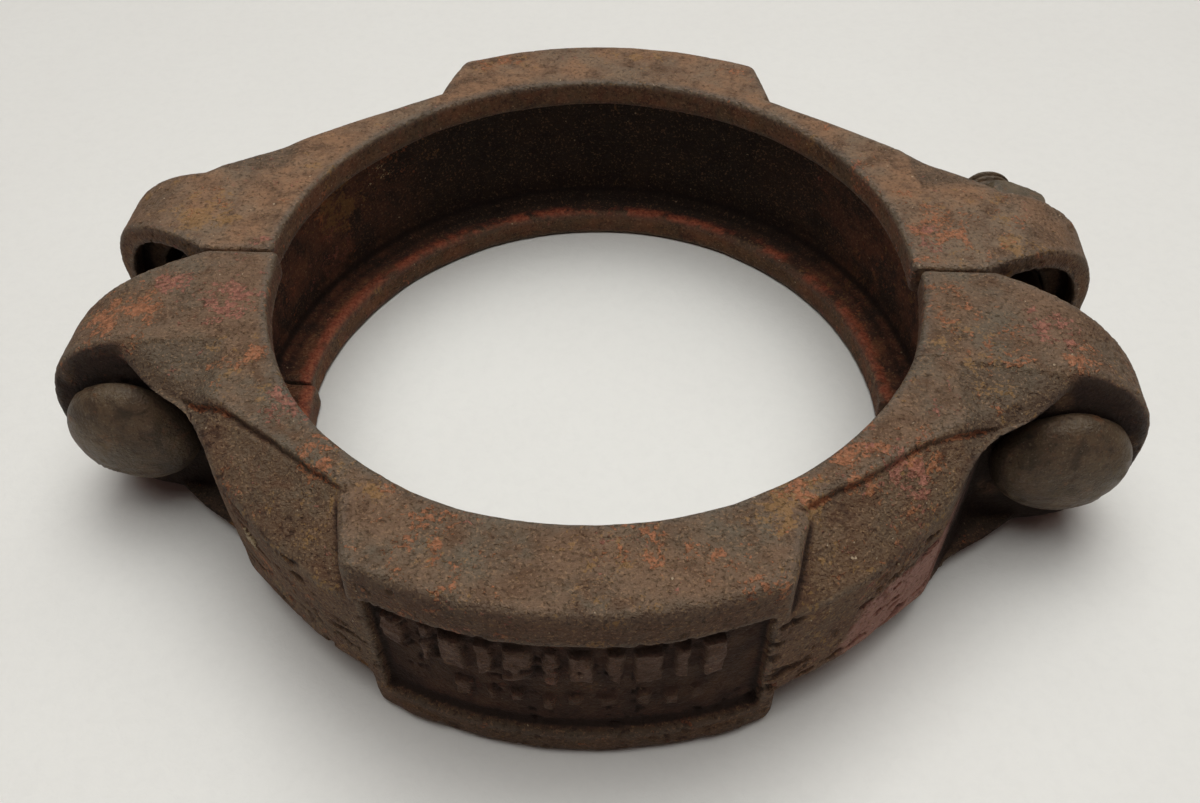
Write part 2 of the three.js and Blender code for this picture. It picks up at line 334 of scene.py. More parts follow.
def casting_lift(points, skin, seed, dressing):
    """How far each point of a casting stands out from its smooth shape, along its normal."""
    coarse = 0.30 + 0.5 * skin.outer + 0.7 * skin.recess
    lift = 0.22 * noise(points, 24.0, seed) + 0.10 * noise(points, 9.0, seed + 1)
    lift += coarse * 0.15 * layered(points, 3.0, seed + 2, 3, 0.65)
    lift -= skin.pits * (0.05 + 0.30 * skin.outer + 0.35 * skin.recess)
    lift -= skin.scabs * 0.8
    lift += skin.marks * (2.1 + 0.5 * noise(points, 3.0, seed + 14))
    lift += 0.45 * lip_pads(points) * skin.outer
    lift -= dressing * (0.95 * skin.groove + 0.65 * skin.shoulder)
    return lift


def casting_masks(points, world, skin, seed):
    """What the iron's colours are laid on by, 0 to 1. world is the points' places in the shared frame."""
    height = np.abs(points[:, 2])
    wear = ramp(skin.convex, 0.05, 0.28) * (0.55 + 0.45 * skin.keys)
    # Darker in hollows, pits, scabs and the crease's groove. Painted shade on the name panel's outer face
    # (the 0.25 term), deeper on the recess floor between the bars, and on the head pockets' walls.
    grime_and_shade = ramp(skin.convex, -0.04, -0.22) * (1 - 0.6 * skin.recess)
    grime_and_shade += skin.pits * 0.4 + skin.scabs * 0.8 + skin.groove * 0.55 + 0.25 * skin.outer * skin.panel
    # Painted shade: the recess floor between the bars.
    grime_and_shade += skin.recess * (1 - skin.marks) * (0.5 + 0.25 * noise(points, 6.0, seed + 16))
    # Painted shade: the walls of the pockets round the bolt heads.
    grime_and_shade += skin.pocket * ramp(noise(points, 9.0, seed + 15), -1.2, -0.2)
    # Painted shade at the back of the ring: darkens the rear half's gasket channel and fades its rust
    # patches.
    shaded = skin.inside * ramp(world[:, 1], 45, 85)
    lower_key_edge = ramp(np.abs(points[:, 2] + 21.3), 1.5, 0.4) * ramp(np.abs(skin.radius - 84.6), 2.2, 0.9)
    masks = {
        # The panel's raised bars get the rubbed grey too: partly real wear, partly a painted highlight
        # against the painted shade of the recess floor.
        "wear": np.maximum(wear, 0.5 * skin.marks),
        "grime_and_shade": np.clip(grime_and_shade, 0, 1),
        "coarse": np.clip(skin.outer + 0.8 * skin.shoulder, 0, 1),
        "dressed": ramp(skin.facing, 0.15, 0.5),
        "shaded": shaded,
        "lower_key": lower_key_edge,
        "channel": skin.inside * (1 - skin.keys) * ramp(height, CHANNEL_HALF + 1.7, CHANNEL_HALF - 0.3),
        "key": skin.keys * ramp(height, HALF_WIDTH - 0.8, HALF_WIDTH - 1.7),
        "recess": skin.recess,
        "paint": patches("paint", world) * (1 - skin.inside),
    }
    for kind in ("orange", "pink", "ochre", "pale"):
        # Rust patches are faded under the painted shade at the back of the ring.
        masks[kind] = patches(kind, world) * (1 - 0.6 * shaded)
    rusty_groove = ramp(skin.groove, 0.15, 0.5) * ramp(noise(world, 14.0, 351), -0.25, 0.25)
    masks["orange"] = np.maximum(masks["orange"], rusty_groove)
    return masks


def thinned(mesh):
    """A copy of mesh with no more than HOUSING_FACES triangles. The mesh itself is thrown away."""
    triangles = sum(len(p.vertices) - 2 for p in mesh.polygons)
    source = new_object("full_housing", mesh)
    made = with_modifier(source, "DECIMATE", ratio=min(1.0, HOUSING_FACES / triangles))
    bpy.data.objects.remove(source)
    bpy.data.meshes.remove(mesh)
    return made


def housing(name, node, body, turn, material, seed, tip_rounding, dressing):
    """One housing half, turned about the pipe's axis. dressing scales its crease and its ears' slope."""
    mesh = rounded_housing(tip_rounding)
    points, edges = mesh_arrays(mesh)
    normals = vertex_normals(mesh)
    skin = casting_skin(points, edges, normals, seed, dressing)
    shaped = points + normals * casting_lift(points, skin, seed, dressing)[:, None]
    shaped[:, 2] -= np.sign(points[:, 2]) * skin.facing
    c, s = math.cos(turn), math.sin(turn)
    rotate = np.array([[c, -s, 0], [s, c, 0], [0, 0, 1]])
    world = shaped @ rotate.T + rotate @ SLIP
    set_points(mesh, world)
    for mask, values in casting_masks(points, world, skin, seed).items():
        add_attribute(mesh, mask, values)
    placed(thinned(mesh), name, node, body, material)


# Where corrosion and old paint show, by kind: (place in the shared frame, how far it reaches, how strong).
PATCHES = {
    "orange": (
        ((-115, -24, 29), 15, 0.95), ((-107, -12, 29), 9, 0.6), ((-78, -38, 29), 6, 1.0),
        ((-55, -67, 29), 8, 0.9), ((-36, -78, 29), 10, 0.75), ((-26, -85, 29), 10, 0.8),
        ((16, -87, 29), 11, 0.75), ((28, -90, 29), 8, 0.6), ((47, -70, 29), 9, 0.8),
        ((61, -60, 29), 11, 0.9), ((88, -14, 29), 12, 0.7), ((98, -28, 29), 12, 0.55),
        ((117, -28, 29), 9, 0.7), ((89, 17, 29), 13, 0.9), ((103, 21, 29), 9, 0.5),
        ((-108, 22, 29), 12, 0.6), ((-88, 22, 29), 9, 0.5), ((-34, 92, 29), 12, 0.7),
        ((37, 86, 29), 14, 0.7), ((62, 64, 29), 12, 0.6), ((75, 41, 29), 10, 0.6),
        ((76, -60, 27), 9, 0.9), ((62, -67, 27), 7, 0.9), ((-72, -76, -2), 8, 0.8),
        ((-60, -86, 4), 7, 0.6), ((-66, 66, 8), 14, 1.0), ((-84, 42, 8), 12, 0.7),
        ((-90, 20, 5), 10, 0.6),
    ),
    "pink": (
        ((-104, -14, 29), 9, 0.8), ((-90, -19, 29), 11, 1.0), ((-66, -52, 29), 9, 1.0),
        ((64, -57, 29), 8, 0.6), ((112, -20, 29), 10, 0.8), ((86, 12, 29), 9, 0.7),
        ((-85, 5, 29), 7, 0.7), ((72, -64, 25), 10, 0.9), ((-112, -33, 20), 8, 0.7),
        ((121, -6, 20), 12, 0.8), ((-82, 44, -10), 12, 0.7),
    ),
    "ochre": (
        ((-40, -74, 29), 10, 0.8), ((10, -92, 29), 20, 0.6), ((46, -76, 29), 13, 0.9),
        ((92, -26, 29), 14, 0.6), ((109, 10, 29), 8, 1.0), ((-106, 14, 29), 15, 0.9),
        ((-33, 91, 29), 16, 0.7), ((5, 93, 29), 22, 0.7), ((-70, 55, 29), 16, 0.5),
        ((-80, 50, 4), 16, 1.0), ((-60, 73, 10), 14, 0.9),
    ),
    "pale": (
        ((-75, -73, 4), 4, 0.9), ((-70, 63, 8), 8, 0.8),
    ),
    "paint": (
        ((86, -62, -5), 17, 1.0), ((73, -76, -8), 17, 1.0), ((95, -48, -3), 10, 0.8),
        ((-96, -45, -6), 10, 0.5),
    ),
}

# Fainter patches all over: how strong they are, and the seed of the noise that places them.
SCATTER = {"orange": (0.45, 41), "pink": (0.36, 42), "ochre": (0.5, 43)}
PAINT_TOP = 8.0  # the old paint shows on the walls, below this height


def patches(kind, world):
    """How strongly one kind of corrosion or paint shows at each point, 0 to 1."""
    total = np.zeros(len(world))
    for place, reach, strength in PATCHES[kind]:
        distance = np.linalg.norm(world - np.array(place, float), axis=1) / reach
        total = np.maximum(total, strength * ramp(distance, 1.35, 0.25))
    if kind in SCATTER:
        strength, seed = SCATTER[kind]
        total = np.maximum(total, strength * ramp(noise(world, 22.0, seed), -0.1, 0.4))
    if kind == "paint":
        total *= ramp(world[:, 2], PAINT_TOP, PAINT_TOP - 4.0)
    return total


# ---------------------------------------------------------------- materials

def srgb(*screen):
    """A colour given as it shows on a screen, 0 to 255, in the linear values a shader needs."""
    shares = [c / 255 for c in screen]
    linear = [c / 12.92 if c <= 0.04045 else ((c + 0.055) / 1.055) ** 2.4 for c in shares]
    return (*linear, 1.0)


# Cast iron. A pair is a darker and a lighter tone of one thing.
CRUST_BROWN = srgb(97, 73, 56)
# Coarse outer walls: partly their own redder brown, partly painted shade.
COARSE_SHADED_BROWN = srgb(92, 70, 54)
RUBBED_GREY = srgb(95, 89, 78)
# Dressed facets: their own grey, darkened as painted shade.
DRESSED_SHADED_GREY = srgb(84, 73, 61)
CHANNEL_TONES = srgb(58, 40, 34), srgb(118, 78, 56)
# Painted shade at the back of the rear half's gasket channel.
CHANNEL_SHADE = srgb(34, 22, 18)
KEY_TONES = srgb(88, 67, 50), srgb(106, 66, 48)
OCHRE_RUST = srgb(148, 112, 68)
ORANGE_RUST = srgb(134, 84, 58), srgb(176, 114, 78)
PINK_RUST = srgb(126, 78, 66), srgb(168, 110, 92)
EDGE_RUST = srgb(140, 74, 56), srgb(186, 108, 80)
DUSTY_PAINT = srgb(124, 84, 74), srgb(186, 138, 126)
PALE_BLOOM = srgb(196, 176, 140)
LIGHT_GRAIN = srgb(158, 126, 94)
DARK_GRAIN = srgb(60, 46, 37)
FLECK = srgb(190, 170, 140)
# A redder brown laid on the name panel's recess as painted shade.
RECESS_SHADE_BROWN = srgb(98, 66, 50)
# Dark hollows, pits and scabs, and the colour of painted shade on the name panel and in the head pockets.
GRIME_AND_SHADE = srgb(42, 29, 23)

# Bolts and nuts
STEEL_DUST = srgb(114, 101, 84)
STEEL_SOOT = srgb(44, 34, 26)
STEEL_RUST = srgb(132, 88, 60)
STEEL_DARK_GRAIN = srgb(46, 38, 30)
STEEL_LIGHT_GRAIN = srgb(140, 128, 108)
STEEL_SCUFF = srgb(150, 144, 130)

TABLE_TONES = srgb(223, 223, 218), srgb(228, 229, 224)
TABLE_FIBRE = srgb(203, 204, 200)
BACKDROP = srgb(181, 179, 173)


class Shader:
    """A node material with short ways to add its nodes."""

    def __init__(self, name):
        self.material = bpy.data.materials.new(name)
        self.material.use_nodes = True
        self.tree = self.material.node_tree
        self.surface = self.tree.nodes["Principled BSDF"]
        self.place = self.tree.nodes.new("ShaderNodeTexCoord").outputs["Object"]

    def node(self, kind, **settings):
        made = self.tree.nodes.new(kind)
        for key, value in settings.items():
            setattr(made, key, value)
        return made

    def feed(self, socket, value):
        if isinstance(value, bpy.types.NodeSocket):
            self.tree.links.new(value, socket)
        else:
            socket.default_value = value

    def attribute(self, name):
        return self.node("ShaderNodeAttribute", attribute_name=name).outputs["Fac"]

    def noise(self, size, detail=4.0, rough=0.55, distort=0.0, shift=0):
        """Noise from 0 to 1 whose bumps are `size` millimetres across. Each shift gives another pattern."""
        n = self.node("ShaderNodeTexNoise")
        n.inputs["Scale"].default_value = 1.0 / (size * MM)
        n.inputs["Detail"].default_value = detail
        n.inputs["Roughness"].default_value = rough
        n.inputs["Distortion"].default_value = distort
        where = self.place
        if shift:
            moved = self.node("ShaderNodeVectorMath", operation="ADD")
            self.feed(moved.inputs[0], where)
            moved.inputs[1].default_value = (0.37 * shift, 0.61 * shift, 0.83 * shift)
            where = moved.outputs["Vector"]
        self.feed(n.inputs["Vector"], where)
        return n.outputs["Fac"]

    def math(self, operation, a, b):
        m = self.node("ShaderNodeMath", operation=operation)
        self.feed(m.inputs[0], a)
        self.feed(m.inputs[1], b)
        return m.outputs[0]

    def step(self, value, low, high):
        """0 below low and 1 above high."""
        m = self.node("ShaderNodeMapRange", interpolation_type="SMOOTHSTEP")
        self.feed(m.inputs["Value"], value)
        self.feed(m.inputs["From Min"], low)
        self.feed(m.inputs["From Max"], high)
        return m.outputs["Result"]

    def mix(self, amount, a, b):
        m = self.node("ShaderNodeMix", data_type="RGBA")
        self.feed(m.inputs[0], amount)
        self.feed(m.inputs[6], a)
        self.feed(m.inputs[7], b)
        return m.outputs[2]

    def coat(self, colour, over, mask, share):
        """The colour `over` laid on `colour` where mask is 1, hiding that share of it."""
        return self.mix(self.math("MULTIPLY", mask, share), colour, over)

    def bump(self, height, distance, under=None):
        b = self.node("ShaderNodeBump")
        b.inputs["Distance"].default_value = distance * MM
        self.feed(b.inputs["Height"], height)
        if under is not None:
            self.feed(b.inputs["Normal"], under)
        return b.outputs["Normal"]


def speckled(s, amount, clump, grain, shift):
    """A patch broken up into grains in clumps: they close up where the patch is strong."""
    clumps = s.noise(clump, 3.0, 0.6, 0.5, shift)
    grains = s.noise(grain, 2.0, 0.6, 0.3, shift)
    mixed = s.math("ADD", s.math("MULTIPLY", clumps, 0.6), s.math("MULTIPLY", grains, 0.4))
    edge = s.math("SUBTRACT", 0.67, s.math("MULTIPLY", amount, 0.22))
    return s.math("MULTIPLY", s.step(mixed, edge, s.math("ADD", edge, 0.05)), s.step(amount, 0.02, 0.2))


def iron_skin(s, brown, grey, wear):
    """Brown and grey skin: browner and redder on coarse faces, partly their own tone and partly painted
    shade; greyer where it is rubbed or dressed, the dressed facets darkened as painted shade.
    """
    colour = s.mix(s.step(s.noise(21.0, 4.0, 0.6), 0.38, 0.62), brown, grey)
    colour = s.mix(s.step(s.noise(7.0, 5.0, 0.65, 0.4), 0.42, 0.68), colour, CRUST_BROWN)
    # Coarse outer faces: partly their own redder brown, partly painted shade.
    colour = s.coat(colour, COARSE_SHADED_BROWN, s.attribute("coarse"), 0.5)
    # Rubbed grey on worn edges; on the panel's raised bars it is partly a painted highlight.
    colour = s.coat(colour, RUBBED_GREY, wear, 0.62)
    # Dressed facets on the ears: their own grey, darkened as painted shade.
    return s.coat(colour, DRESSED_SHADED_GREY, s.attribute("dressed"), 0.6)


def iron_inside(s, colour):
    """The gasket channel, with painted shade darkest under the rear half's near key, and the keys beside it.
    """
    channel = s.mix(s.step(s.noise(10.0, 5.0, 0.65), 0.35, 0.65), *CHANNEL_TONES)
    # Painted shade at the back of the rear half's channel.
    channel = s.mix(s.attribute("shaded"), channel, CHANNEL_SHADE)
    colour = s.coat(colour, channel, s.attribute("channel"), 0.85)
    key = s.mix(s.step(s.noise(8.0, 5.0, 0.65), 0.4, 0.6), *KEY_TONES)
    return s.coat(colour, key, s.attribute("key"), 0.6)


def iron_rust(s, colour, tone):
    """Ochre, orange and pink rust, old paint and a pale bloom. Also gives where the rust stands up."""
    ochre = speckled(s, s.attribute("ochre"), 5.0, 0.9, 3)
    orange = speckled(s, s.attribute("orange"), 4.5, 0.9, 5)
    pink = speckled(s, s.attribute("pink"), 4.0, 0.9, 7)
    pale = speckled(s, s.attribute("pale"), 3.0, 0.8, 9)
    paint = s.step(s.math("ADD", s.attribute("paint"), s.noise(6.0, 4.0, 0.6, 0.4, 17)), 0.76, 1.08)
    colour = s.coat(colour, OCHRE_RUST, ochre, 0.6)
    colour = s.coat(colour, s.mix(tone, *ORANGE_RUST), orange, 0.78)
    colour = s.coat(colour, s.mix(tone, *PINK_RUST), pink, 0.78)
    colour = s.coat(colour, s.mix(s.noise(5.0, 5.0, 0.7), *DUSTY_PAINT), paint, 0.85)
    colour = s.coat(colour, PALE_BLOOM, pale, 0.8)
    return colour, s.math("MAXIMUM", orange, pink)


def iron_grains(s, colour):
    """Light and dark grains and a few pale flecks. Also gives where the dark grains are."""
    light_grains = s.step(s.noise(0.75, 2.0, 0.6, 0.4, 11), 0.56, 0.66)
    dark_grains = s.step(s.noise(0.95, 3.0, 0.6, 0.4, 13), 0.54, 0.66)
    flecks = s.step(s.noise(1.4, 1.0, 0.5, 0.0, 15), 0.77, 0.80)
    colour = s.coat(colour, LIGHT_GRAIN, light_grains, 0.45)
    colour = s.coat(colour, DARK_GRAIN, dark_grains, 0.55)
    return s.coat(colour, FLECK, flecks, 0.7), dark_grains


def cast_iron(name, brown, grey):
    """Old cast iron: brown skin with rubbed grey edges, rust, traces of dusty pink paint, dark hollows, and
    painted shade on the name panel, in the head pockets and at the back of the gasket channel.
    """
    s = Shader(name)
    tone = s.step(s.noise(1.1, 3.0, 0.65), 0.35, 0.65)
    wear = s.attribute("wear")
    colour = iron_inside(s, iron_skin(s, brown, grey, wear))
    colour, rust = iron_rust(s, colour, tone)
    colour, dark_grains = iron_grains(s, colour)
    edge_patches = s.step(s.noise(13.0, 5.0, 0.7, 0.3, 19), 0.42, 0.56)
    edge_rust = s.math("MULTIPLY", s.attribute("lower_key"), edge_patches)
    colour = s.coat(colour, s.mix(tone, *EDGE_RUST), edge_rust, 0.75)
    # Painted shade: a redder brown over the name panel's recess.
    colour = s.coat(colour, RECESS_SHADE_BROWN, s.attribute("recess"), 0.45)
    # Painted shade on the name panel, its recess and the head pockets, with dark hollows, pits, scabs and the
    # crease.
    colour = s.coat(colour, GRIME_AND_SHADE, s.attribute("grime_and_shade"), 0.86)
    s.feed(s.surface.inputs["Base Color"], colour)
    rough = s.math("SUBTRACT", 0.86, s.math("MULTIPLY", wear, 0.28))
    s.feed(s.surface.inputs["Roughness"], s.math("SUBTRACT", rough, s.math("MULTIPLY", tone, 0.10)))
    s.surface.inputs["Specular IOR Level"].default_value = 0.4
    grain = s.bump(s.noise(0.8, 3.0, 0.65), 0.8)
    pitted = s.bump(s.math("SUBTRACT", 1.0, dark_grains), 0.14, grain)
    mottled = s.bump(s.noise(2.6, 4.0, 0.6), 0.8, pitted)
    s.feed(s.surface.inputs["Normal"], s.bump(rust, 0.15, mottled))
    return s.material


def fastener_steel(name, light, dark, rusty):
    """Dull oxide-brown steel, with dust, soot, scuffs and a little rust."""
    s = Shader(name)
    dust = s.step(s.noise(5.5, 6.0, 0.7, 0.8, 21), 0.50, 0.68)
    soot = s.step(s.noise(9.0, 6.0, 0.7, 0.6, 31), 0.48, 0.66)
    rust = s.step(s.noise(4.5, 5.0, 0.7, 0.5, 23), 0.60 - 0.12 * rusty, 0.74 - 0.10 * rusty)
    dark_grains = s.step(s.noise(0.9, 3.0, 0.65, 0.3, 25), 0.52, 0.68)
    light_grains = s.step(s.noise(0.7, 2.0, 0.6, 0.3, 27), 0.60, 0.70)
    scuffs = s.step(s.noise(3.4, 7.0, 0.8, 1.6, 29), 0.64, 0.69)
    colour = s.mix(s.step(s.noise(8.0, 5.0, 0.65, 0.3), 0.38, 0.62), light, dark)
    colour = s.coat(colour, STEEL_DUST, dust, 0.55)
    colour = s.coat(colour, STEEL_SOOT, soot, 0.6)
    colour = s.coat(colour, STEEL_RUST, rust, 0.25 + 0.45 * rusty)
    colour = s.coat(colour, STEEL_DARK_GRAIN, dark_grains, 0.45)
    colour = s.coat(colour, STEEL_LIGHT_GRAIN, light_grains, 0.3)
    colour = s.coat(colour, STEEL_SCUFF, scuffs, 0.5)
    s.feed(s.surface.inputs["Base Color"], colour)
    s.surface.inputs["Metallic"].default_value = 0.2
    s.feed(s.surface.inputs["Roughness"], s.math("ADD", 0.5, s.math("MULTIPLY", dust, 0.25)))
    s.surface.inputs["Specular IOR Level"].default_value = 0.5
    grain = s.bump(s.noise(0.7, 3.0, 0.65), 0.30)
    s.feed(s.surface.inputs["Normal"], s.bump(s.noise(3.0, 5.0, 0.65), 0.45, grain))
    return s.material


def table_top():
    """A pale table with a faint mottled sheen."""
    s = Shader("table_top")
    fibre = s.noise(4.0, 5.0, 0.7, 0.4)
    colour = s.mix(s.noise(60.0, 5.0, 0.6), *TABLE_TONES)
    colour = s.coat(colour, TABLE_FIBRE, s.step(fibre, 0.4, 0.7), 0.10)
    s.feed(s.surface.inputs["Base Color"], colour)
    s.surface.inputs["Roughness"].default_value = 0.6
    s.feed(s.surface.inputs["Normal"], s.bump(fibre, 0.15))
    return s.material


# ---------------------------------------------------------------- bolts and nuts

BOLT_TURNS = 72  # points round a bolt
HEAD_R = 16.65
HEAD_DOME = 8.4  # how far the head bulges
HEAD_EDGE = 1.4  # the upright edge under the dome
NECK_LENGTH = 8.4
NECK_HALF = (9.2, 8.2)  # the oval neck, across and up
SHANK_R = 7.9
THREAD_LENGTH = 49.0
THREAD_ROOT = 6.75
THREAD_PITCH = 2.309

NUT_TURNS = 144
NUT_FLATS = 28.6
NUT_HEIGHT = 16.0
NUT_BORE = 8.15
NUT_COUNTERSINK = 11.5
# The turned-down corners of a nut's faces: (depth below the face, how far out the nut reaches there).
NUT_CHAMFER = ((0.0, 14.0), (0.25, 14.6), (0.7, 15.3), (1.3, 16.0), (2.0, 17.0))


def angles(turns):
    return np.arange(turns) * 2 * math.pi / turns


def ring_mesh(name, rings, turns, hollow=False):
    """A closed mesh round the Y axis. Each ring is (y, its radius, or one radius for each angle).

    A hollow mesh runs from its last ring back to its first. A solid one starts and ends in a point.
    """
    a = angles(turns)
    loops = []
    for y, r in rings if hollow else rings[1:-1]:
        r = np.broadcast_to(r, (turns,))
        loops.append(np.stack([r * np.cos(a), np.full(turns, y), r * np.sin(a)], axis=1))
    bands = [(i, i + 1) for i in range(len(loops) - 1)]
    faces = []
    first = 0
    if hollow:
        bands.append((len(loops) - 1, 0))
    else:
        first = 1
        last = 1 + len(loops) * turns
        loops = [np.array([[0, rings[0][0], 0]]), *loops, np.array([[0, rings[-1][0], 0]])]
        for j in range(turns):
            k = (j + 1) % turns
            faces.append((0, 1 + j, 1 + k))
            faces.append((last, last - turns + k, last - turns + j))
    for here, after in bands:
        base, beyond = first + here * turns, first + after * turns
        for j in range(turns):
            k = (j + 1) % turns
            faces.append((base + j, beyond + j, beyond + k, base + k))
    mesh = bpy.data.meshes.new(name)
    mesh.from_pydata((np.concatenate(loops) * MM).tolist(), [], faces)
    mesh.update()
    return mesh


def cad_box_mm(node):
    return [np.array(corner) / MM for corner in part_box(node)]


def placed(mesh, name, node, body, material):
    """Make the mesh a piece that stands in for a CAD node and rides on its body."""
    mesh.name = name
    smooth_shaded(mesh)
    mesh.materials.clear()
    mesh.materials.append(material)
    obj = new_object(name, mesh)
    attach(obj, body)
    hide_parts(node)


def thread_phase(y, a):
    """Where in its pitch a thread is at each angle, 0 to 1."""
    return (y / THREAD_PITCH + a / (2 * math.pi)) % 1.0


def head_rings(base_y):
    """The domed head, from its middle out to its edge and back in on its flat underside."""
    edge_y = base_y - HEAD_EDGE
    rings = [(edge_y - HEAD_DOME, 0)]
    for t in np.linspace(0.03, 1.0, 34):
        rings.append((edge_y - HEAD_DOME * math.cos(t * math.pi / 2), HEAD_R * math.sin(t * math.pi / 2)))
    return rings + [
        (base_y - HEAD_EDGE * 0.7, HEAD_R),
        (base_y - HEAD_EDGE * 0.35, HEAD_R - 0.05),
        (base_y - 0.15, HEAD_R - 0.35),
        (base_y, HEAD_R - 0.9),
        (base_y, 13.0),
    ]


def shank_rings(base_y, thread_start):
    """The oval neck and the plain shank."""
    a = angles(BOLT_TURNS)
    neck_end = base_y + NECK_LENGTH
    neck = np.hypot(NECK_HALF[0] * np.cos(a), NECK_HALF[1] * np.sin(a))
    rings = [(base_y, neck + 1.0), (base_y + 0.8, neck)]
    rings += [(y, neck) for y in np.linspace(base_y + 1.5, neck_end, 8)]
    rings.append((neck_end + 0.9, SHANK_R))
    return rings + [(y, SHANK_R) for y in np.linspace(neck_end + 3, thread_start - 1, 16)]


def thread_rings(start, end):
    """The rolled thread, which fades in at its start and has a broken edge at its end."""
    rings = []
    for y in np.arange(start, end - 0.1, THREAD_PITCH / 9):
        crest = np.clip(1.35 - 2.9 * np.abs(thread_phase(y, angles(BOLT_TURNS)) - 0.5), 0, 1)
        depth = (SHANK_R - THREAD_ROOT) * ramp(y, start, start + 3)
        rings.append((y, np.minimum(SHANK_R - depth * (1 - crest), SHANK_R - 1.2 + (end - y) * 0.9)))
    return rings + [(end, SHANK_R - 1.9), (end, SHANK_R * 0.4), (end, 0)]


def bolt(name, node, body, seed):
    """A track-head bolt: domed round head with a forging line, oval neck, plain shank and rolled thread."""
    low, high = cad_box_mm(node)
    x, _, z = (low + high) / 2
    base_y = low[1] + HEAD_DOME + HEAD_EDGE
    end_y = high[1]
    thread_start = end_y - THREAD_LENGTH
    rings = head_rings(base_y) + shank_rings(base_y, thread_start) + thread_rings(thread_start, end_y)
    mesh = ring_mesh(name, rings, BOLT_TURNS)
    points, _ = mesh_arrays(mesh)
    head = ramp(points[:, 1], base_y + 0.5, base_y - 0.5)
    rough = 0.22 * noise(points, 8.0, seed) + 0.08 * layered(points, 2.2, seed + 1)
    forging_line = np.abs(points[:, 2] + 9.5 + 0.5 * noise(points, 8.0, seed + 2))
    inner_side = ramp(points[:, 0] * math.copysign(1, x), -14.0, -4.0)
    ridge = head * ramp(forging_line, 0.7, 0.1) * inner_side * 0.28
    dents = head * ramp(noise(points, 3.1, seed + 4), 0.45, 0.7) * 0.18
    lift = rough * (0.4 + 0.6 * head) + ridge - dents
    points = points + vertex_normals(mesh) * lift[:, None]
    set_points(mesh, points + np.array([x, 0, z]))
    placed(mesh, name, node, body, BOLT_STEEL)


def nut_rings(y_face, turn):
    """Out along a nut's sides, turned about its bolt by `turn`, and back through its threaded bore."""
    a = angles(NUT_TURNS)
    from_flat = (a - turn) % (math.pi / 3) - math.pi / 6
    corner = NUT_FLATS / 2 / math.cos(math.pi / 6)
    hexagon = np.minimum(NUT_FLATS / 2 / np.cos(from_flat), corner - 0.35)
    rings = [(y_face + y, np.minimum(hexagon, limit)) for y, limit in NUT_CHAMFER]
    rings += [(y_face + y, hexagon) for y in np.linspace(2.6, NUT_HEIGHT - 2.6, 14)]
    rings += [(y_face + NUT_HEIGHT - y, np.minimum(hexagon, limit)) for y, limit in reversed(NUT_CHAMFER)]
    rings.append((y_face + NUT_HEIGHT, NUT_COUNTERSINK))
    for y in np.arange(NUT_HEIGHT, -0.01, -THREAD_PITCH / 8):
        lead_in = max(0.0, 1.2 - min(y, NUT_HEIGHT - y))
        groove = 0.6 * np.abs(thread_phase(y, a) - 0.5) * 2
        rings.append((y_face + y, NUT_BORE + lead_in + groove))
    return rings + [(y_face, NUT_COUNTERSINK)]


def nut(name, node, body, turn, seed):
    """A hex nut with turned-down corners on both faces and a threaded bore."""
    low, high = cad_box_mm(node)
    x, _, z = (low + high) / 2
    mesh = ring_mesh(name, nut_rings(low[1], turn), NUT_TURNS, hollow=True)
    points, _ = mesh_arrays(mesh)
    outside = ramp(np.hypot(points[:, 0], points[:, 2]), 9.5, 12.5)
    lift = outside * (0.10 * noise(points, 6.0, seed) + 0.09 * layered(points, 2.4, seed + 1))
    points = points + vertex_normals(mesh) * lift[:, None]
    set_points(mesh, points + np.array([x, 0, z]))
    placed(mesh, name, node, body, NUT_STEEL)


# ---------------------------------------------------------------- table, light and camera

TABLE_WIDTH = 40.0  # metres, so that its edge is far off in every view


def table():
    bpy.ops.mesh.primitive_plane_add(size=TABLE_WIDTH, location=(0, 0, -HALF_WIDTH * MM))
    floor = bpy.context.object
    floor.name = "table_top"
    floor.data.materials.append(table_top())


def soft_light(name, azimuth, elevation, spread, strength, colour):
    """Even light from far away, spread over a wide angle. Azimuth 0 is from -Y and 90 from +X, in degrees."""
    data = bpy.data.lights.new(name, "SUN")
    data.angle = math.radians(spread)
    data.energy = strength
    data.color = colour
    obj = bpy.data.objects.new(name, data)
    bpy.context.scene.collection.objects.link(obj)
    a, e = math.radians(azimuth), math.radians(elevation)
    towards = Vector((math.sin(a) * math.cos(e), -math.cos(a) * math.cos(e), math.sin(e)))
    obj.rotation_mode = "QUATERNION"
    obj.rotation_quaternion = towards.to_track_quat("Z", "Y")


def ceiling_panel(name, place, across, power, colour):
    """A round glowing panel that hangs level over the table, `across` metres wide."""
    data = bpy.data.lights.new(name, "AREA")
    data.shape = "DISK"
    data.size = across
    data.energy = power
    data.color = colour
    obj = bpy.data.objects.new(name, data)
    obj.location = place
    obj.visible_camera = False
    bpy.context.scene.collection.objects.link(obj)


CONTRAST = ((0.015, 0.010), (0.035, 0.029), (0.07, 0.069))


def camera_contrast():
    """Deeper darks: each brightness in CONTRAST's first column becomes the one in its second."""
    view = bpy.context.scene.view_settings
    view.view_transform = "Standard"
    view.use_curve_mapping = True
    curve = view.curve_mapping.curves[3]
    for before, after in CONTRAST:
        curve.points.new(before, after)
    for point in curve.points:
        point.handle_type = "VECTOR"
    view.curve_mapping.update()


